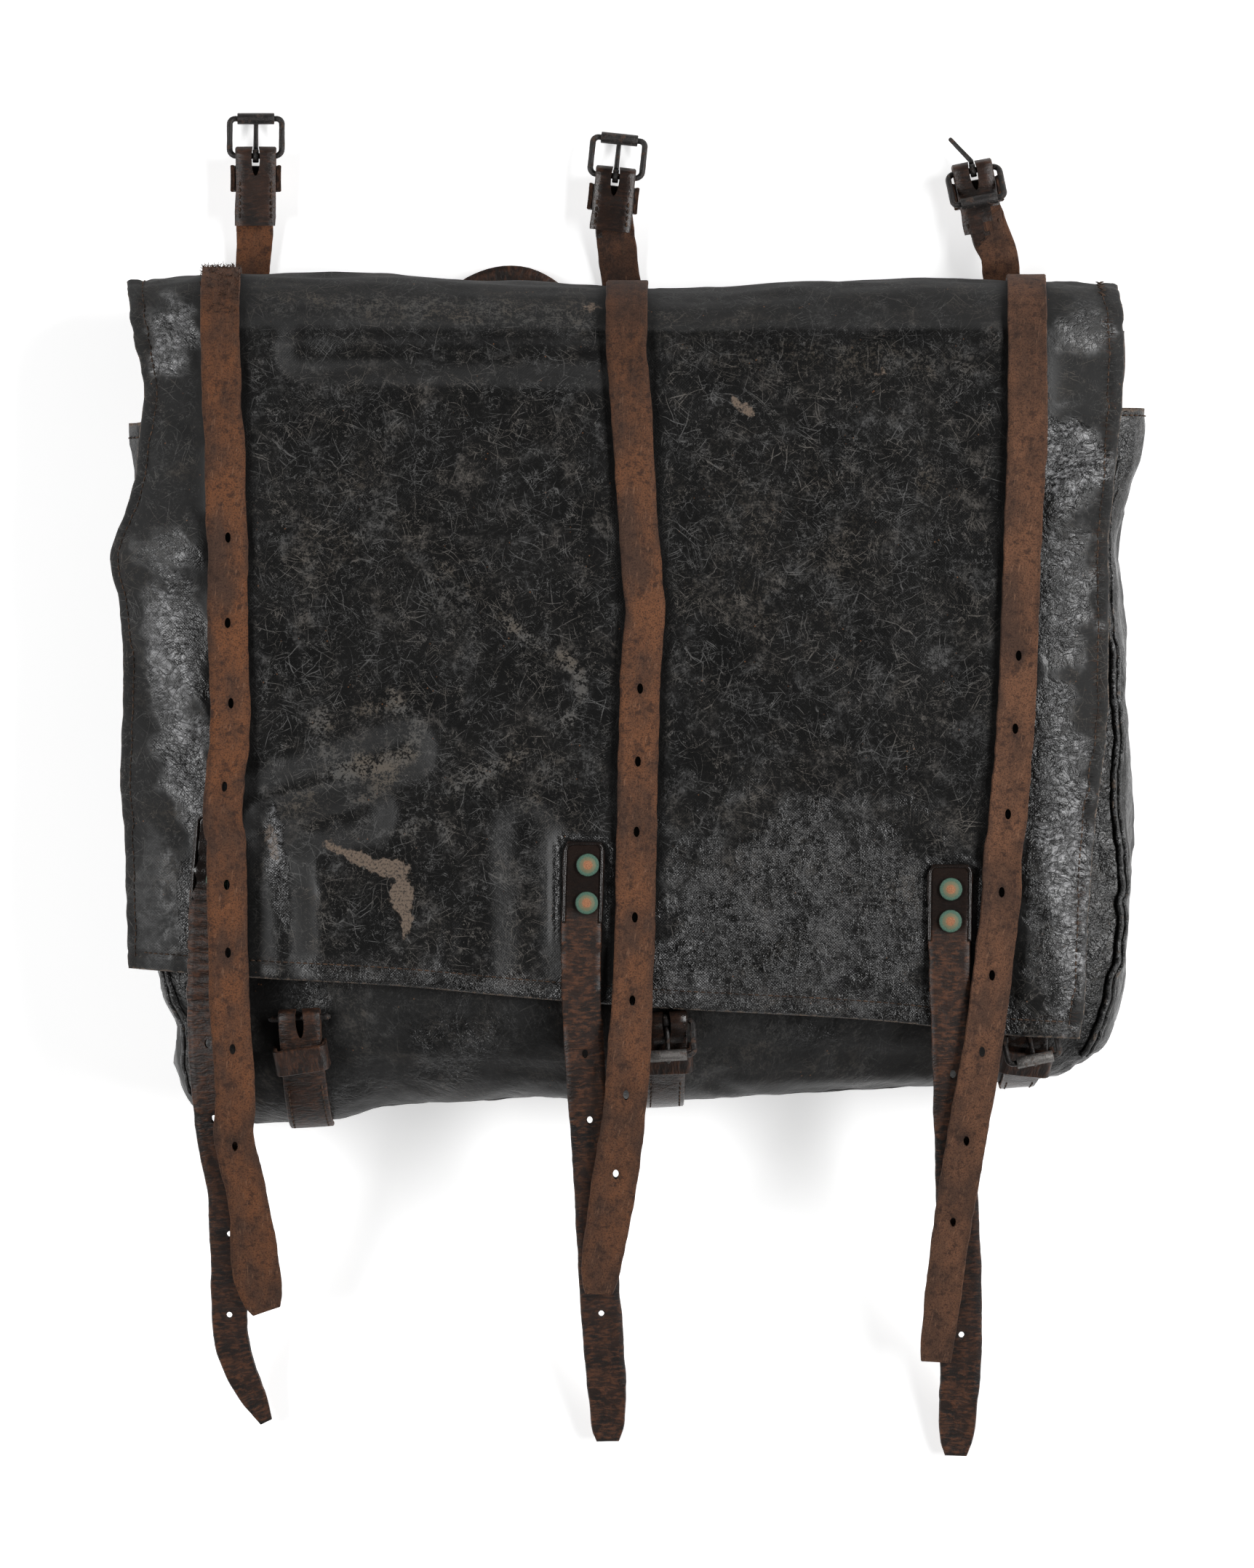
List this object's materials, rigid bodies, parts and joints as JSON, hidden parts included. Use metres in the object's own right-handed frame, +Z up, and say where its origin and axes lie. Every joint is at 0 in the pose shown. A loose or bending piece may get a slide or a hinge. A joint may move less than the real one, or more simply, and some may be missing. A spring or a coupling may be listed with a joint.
{
  "type": "knapsack",
  "caption": "Soft canvas knapsack lying on its back, its flap over an open pouch, with leather blanket and closing straps and roller buckles.",
  "frame": {"origin": "on the ground under the middle of the bag, on the flat of its back", "axes": "+X to the right of the front as pictured, +Y to the top of the bag, +Z up out of the front"},
  "size_m": [0.4123, 0.5387, 0.0766],
  "materials": {
    "canvas": "black painted canvas, cracked and scuffed",
    "leather": "worn brown leather, flesh side rough",
    "iron": "blackened iron with rust",
    "copper": "copper with green tarnish"
  },
  "bodies": {
    "bag": {"flap": "canvas", "pouch": "canvas", "welt_left": "canvas", "welt_right": "canvas", "blanket_strap_left": "leather", "blanket_keeper_left": "leather", "closing_strap_left": "leather", "closing_chape_left": "leather", "closing_keeper_left": "leather", "rivet_left_upper": "copper", "rivet_left_lower": "copper", "blanket_strap_middle": "leather", "blanket_keeper_middle": "leather", "closing_strap_middle": "leather", "closing_chape_middle": "leather", "closing_keeper_middle": "leather", "rivet_middle_upper": "copper", "rivet_middle_lower": "copper", "blanket_strap_right": "leather", "blanket_keeper_right": "leather", "closing_strap_right": "leather", "closing_chape_right": "leather", "closing_keeper_right": "leather", "rivet_right_upper": "copper", "rivet_right_lower": "copper", "closing_bar_left": "iron", "shoulder_strap_left": "leather", "shoulder_strap_right": "leather"},
    "blanket_frame_left": {"blanket_frame_left": "iron"},
    "blanket_roller_left": {"blanket_roller_left": "iron"},
    "blanket_tongue_left": {"blanket_tongue_left": "iron"},
    "blanket_frame_middle": {"blanket_frame_middle": "iron"},
    "blanket_roller_middle": {"blanket_roller_middle": "iron"},
    "blanket_tongue_middle": {"blanket_tongue_middle": "iron"},
    "blanket_frame_right": {"blanket_frame_right": "iron"},
    "blanket_roller_right": {"blanket_roller_right": "iron"},
    "blanket_tongue_right": {"blanket_tongue_right": "iron"},
    "closing_frame_middle": {"closing_frame_middle": "iron"},
    "closing_roller_middle": {"closing_roller_middle": "iron"},
    "closing_tongue_middle": {"closing_tongue_middle": "iron"},
    "closing_frame_right": {"closing_frame_right": "iron"},
    "closing_roller_right": {"closing_roller_right": "iron"},
    "closing_tongue_right": {"closing_tongue_right": "iron"}
  },
  "joints": [
    {"name": "blanket_frame_left_swing", "type": "hinge", "parent": "bag", "child": "blanket_frame_left", "pos_m": [-0.1488, 0.2517, 0.0089], "axis": [1, 0, 0], "range_deg": [-20, 165]},
    {"name": "blanket_roller_left_spin", "type": "hinge", "parent": "blanket_frame_left", "child": "blanket_roller_left", "pos_m": [-0.1488, 0.26676, 0.0057], "axis": [1, 0, 0], "continuous": true},
    {"name": "blanket_tongue_left_swing", "type": "hinge", "parent": "blanket_frame_left", "child": "blanket_tongue_left", "pos_m": [-0.1488, 0.2517, 0.0089], "axis": [1, 0, 0], "range_deg": [-55, 0]},
    {"name": "blanket_frame_middle_swing", "type": "hinge", "parent": "bag", "child": "blanket_frame_middle", "pos_m": [-0.0046, 0.2436, 0.0089], "axis": [0.9945, -0.1045, 0], "range_deg": [-20, 165]},
    {"name": "blanket_roller_middle_spin", "type": "hinge", "parent": "blanket_frame_middle", "child": "blanket_roller_middle", "pos_m": [-0.00302, 0.25858, 0.0057], "axis": [0.9945, -0.1045, 0], "continuous": true},
    {"name": "blanket_tongue_middle_swing", "type": "hinge", "parent": "blanket_frame_middle", "child": "blanket_tongue_middle", "pos_m": [-0.0046, 0.2436, 0.0089], "axis": [0.9945, -0.1045, 0], "range_deg": [-55, 0]},
    {"name": "blanket_frame_right_swing", "type": "hinge", "parent": "bag", "child": "blanket_frame_right", "pos_m": [0.1386, 0.2459, 0.0089], "axis": [0.9816, 0.1908, 0], "range_deg": [-140, 15]},
    {"name": "blanket_roller_right_spin", "type": "hinge", "parent": "blanket_frame_right", "child": "blanket_roller_right", "pos_m": [0.14104, 0.23337, 0.01751], "axis": [0.9816, 0.1908, 0], "continuous": true},
    {"name": "blanket_tongue_right_swing", "type": "hinge", "parent": "bag", "child": "blanket_tongue_right", "pos_m": [0.1386, 0.2459, 0.0089], "axis": [0.9816, 0.1908, 0], "range_deg": [-60, 110]},
    {"name": "closing_frame_middle_swing", "type": "hinge", "parent": "bag", "child": "closing_frame_middle", "pos_m": [0.01565, -0.09406, 0.06144], "axis": [0.9985, 0.0556, 0], "range_deg": [-6, 0]},
    {"name": "closing_roller_middle_spin", "type": "hinge", "parent": "closing_frame_middle", "child": "closing_roller_middle", "pos_m": [0.01642, -0.10793, 0.06809], "axis": [0.9985, 0.0556, 0], "continuous": true},
    {"name": "closing_tongue_middle_swing", "type": "hinge", "parent": "closing_frame_middle", "child": "closing_tongue_middle", "pos_m": [0.01565, -0.09406, 0.06144], "axis": [0.9985, 0.0556, 0], "range_deg": [0, 2]},
    {"name": "closing_frame_right_swing", "type": "hinge", "parent": "bag", "child": "closing_frame_right", "pos_m": [0.15907, -0.09544, 0.05583], "axis": [0.978, 0.203, -0.047], "range_deg": [-12, 0]},
    {"name": "closing_roller_right_spin", "type": "hinge", "parent": "closing_frame_right", "child": "closing_roller_right", "pos_m": [0.16226, -0.10963, 0.06088], "axis": [0.978, 0.203, -0.047], "continuous": true},
    {"name": "closing_tongue_right_swing", "type": "hinge", "parent": "closing_frame_right", "child": "closing_tongue_right", "pos_m": [0.15907, -0.09544, 0.05583], "axis": [0.978, 0.203, -0.047], "range_deg": [0, 3]}
  ]
}
